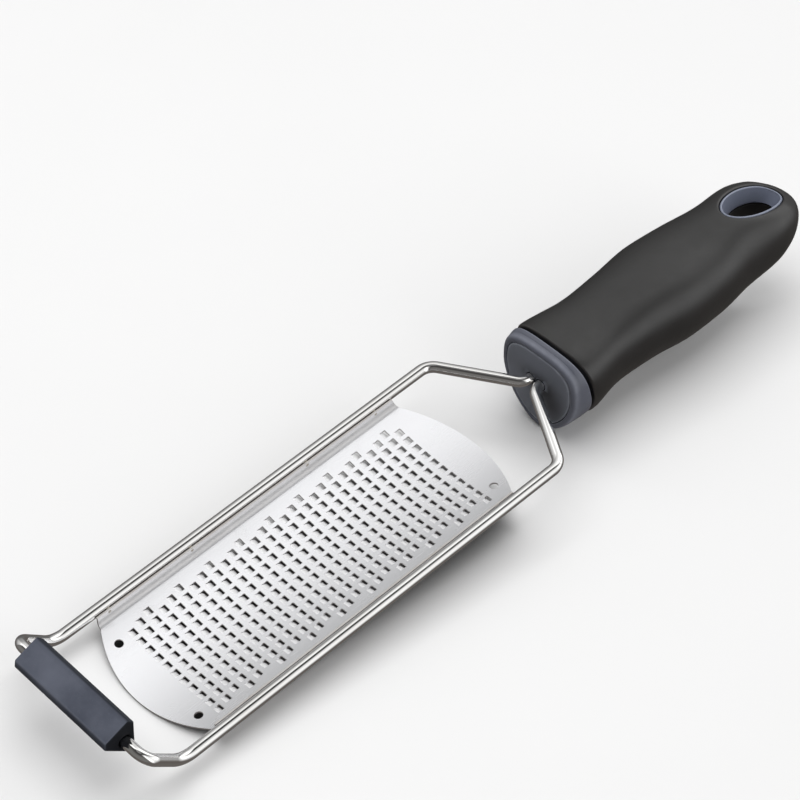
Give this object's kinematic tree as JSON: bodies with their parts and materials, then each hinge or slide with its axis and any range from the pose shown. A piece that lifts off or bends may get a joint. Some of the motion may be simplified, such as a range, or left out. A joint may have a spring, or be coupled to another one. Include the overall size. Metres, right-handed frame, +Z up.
{
  "type": "citrus zester",
  "caption": "Flat handheld citrus zester: punched sheet trough in a bent wire frame with a raised rubber foot and a soft-gripped handle with a hanging hole.",
  "frame": {"origin": "middle of the bounding box at the resting surface", "axes": "+X along the tool from the foot toward the handle, +Y across the tool, +Z up out of the hollow side of the sheet, the tool lying at rest with the handle end a little raised"},
  "size_m": [0.2976, 0.06, 0.0388],
  "materials": {
    "rod_steel": "polished bright rod",
    "sheet_steel": "satin sheet with punched teeth",
    "foot_rubber": "matt, slightly blue dark grey",
    "core_plastic": "satin blue-grey moulding",
    "plug_plastic": "satin blue-grey moulding",
    "grip_rubber": "soft matt black",
    "liner_plastic": "satin blue-grey moulding"
  },
  "bodies": {
    "root": {"wire_frame": "rod_steel", "grater_plate": "sheet_steel", "foot_sleeve": "foot_rubber", "handle_core": "core_plastic", "end_plug": "plug_plastic", "grip_sleeve": "grip_rubber", "hanging_liner": "liner_plastic"}
  },
  "joints": []
}
